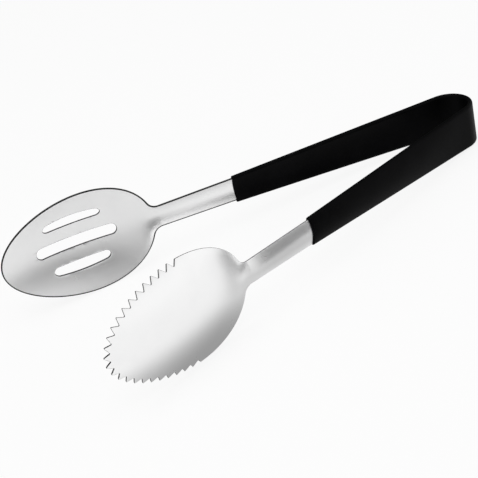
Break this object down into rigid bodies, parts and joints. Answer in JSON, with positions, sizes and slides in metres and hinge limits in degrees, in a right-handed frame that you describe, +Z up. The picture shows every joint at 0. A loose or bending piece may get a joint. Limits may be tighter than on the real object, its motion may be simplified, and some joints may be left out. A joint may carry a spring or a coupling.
{
  "type": "spoon tongs",
  "caption": "Sprung serving tongs from one bent steel strip, with a slotted spoon on one arm, a toothed spoon on the other and a black cover over the grip.",
  "frame": {"origin": "on the table, below the middle of the bounding box of the tongs lying on their side", "axes": "+X from the bend towards the spoon tips, +Y from the slotted arm towards the serrated arm, +Z up from the table"},
  "size_m": [0.25, 0.1164, 0.0551],
  "materials": {
    "stainless_steel": "satin",
    "black_vinyl": "satin"
  },
  "bodies": {
    "slotted_half": {"slotted_spoon_arm": "stainless_steel", "slotted_arm_grip": "black_vinyl", "spring_bend": "stainless_steel", "bend_grip": "black_vinyl"},
    "serrated_half": {"serrated_spoon_arm": "stainless_steel", "serrated_arm_grip": "black_vinyl"}
  },
  "joints": [
    {"name": "spring_flex", "type": "hinge", "parent": "slotted_half", "child": "serrated_half", "pos_m": [-0.11117, 0, 0.01192], "axis": [0.0813, 0, -0.9967], "range_deg": [-4, 25.9], "stiffness_Nm_per_rad": 2, "deforming": ["spring_bend", "bend_grip"]}
  ]
}
